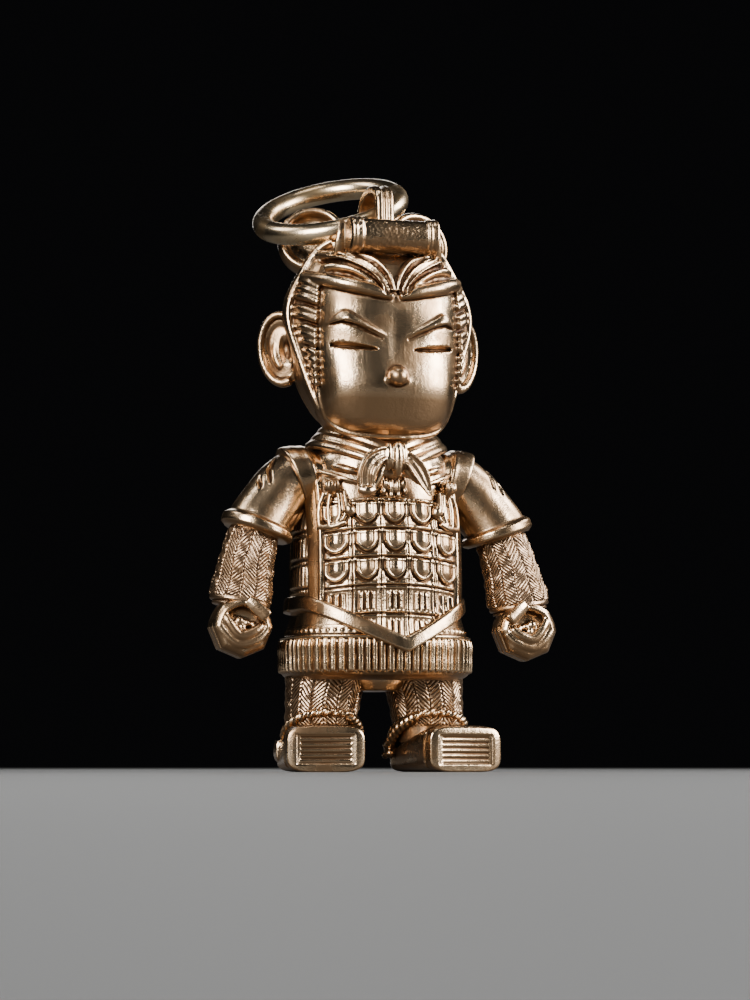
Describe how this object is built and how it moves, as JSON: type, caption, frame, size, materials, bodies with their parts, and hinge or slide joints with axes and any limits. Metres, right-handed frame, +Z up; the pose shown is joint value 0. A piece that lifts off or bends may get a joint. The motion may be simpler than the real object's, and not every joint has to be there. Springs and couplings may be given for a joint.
{
  "type": "brass warrior figurine",
  "caption": "Small cast brass figurine of an armoured warrior with a bail on its cap and a loose wire ring, standing on its soles.",
  "frame": {"origin": "middle of the bounding box in X and Y, at the level of the soles", "axes": "+Z up through the figure, the face looks along -Y, the figure's left hand is at +X"},
  "size_m": [0.0286, 0.017, 0.0503],
  "materials": {
    "antique_brass": "cast, tumbled bright on the high places, with brown in the recesses",
    "plain_brass": "drawn wire, satin"
  },
  "bodies": {
    "root": {"warrior_figure": "antique_brass", "jump_ring": "plain_brass"}
  },
  "joints": []
}
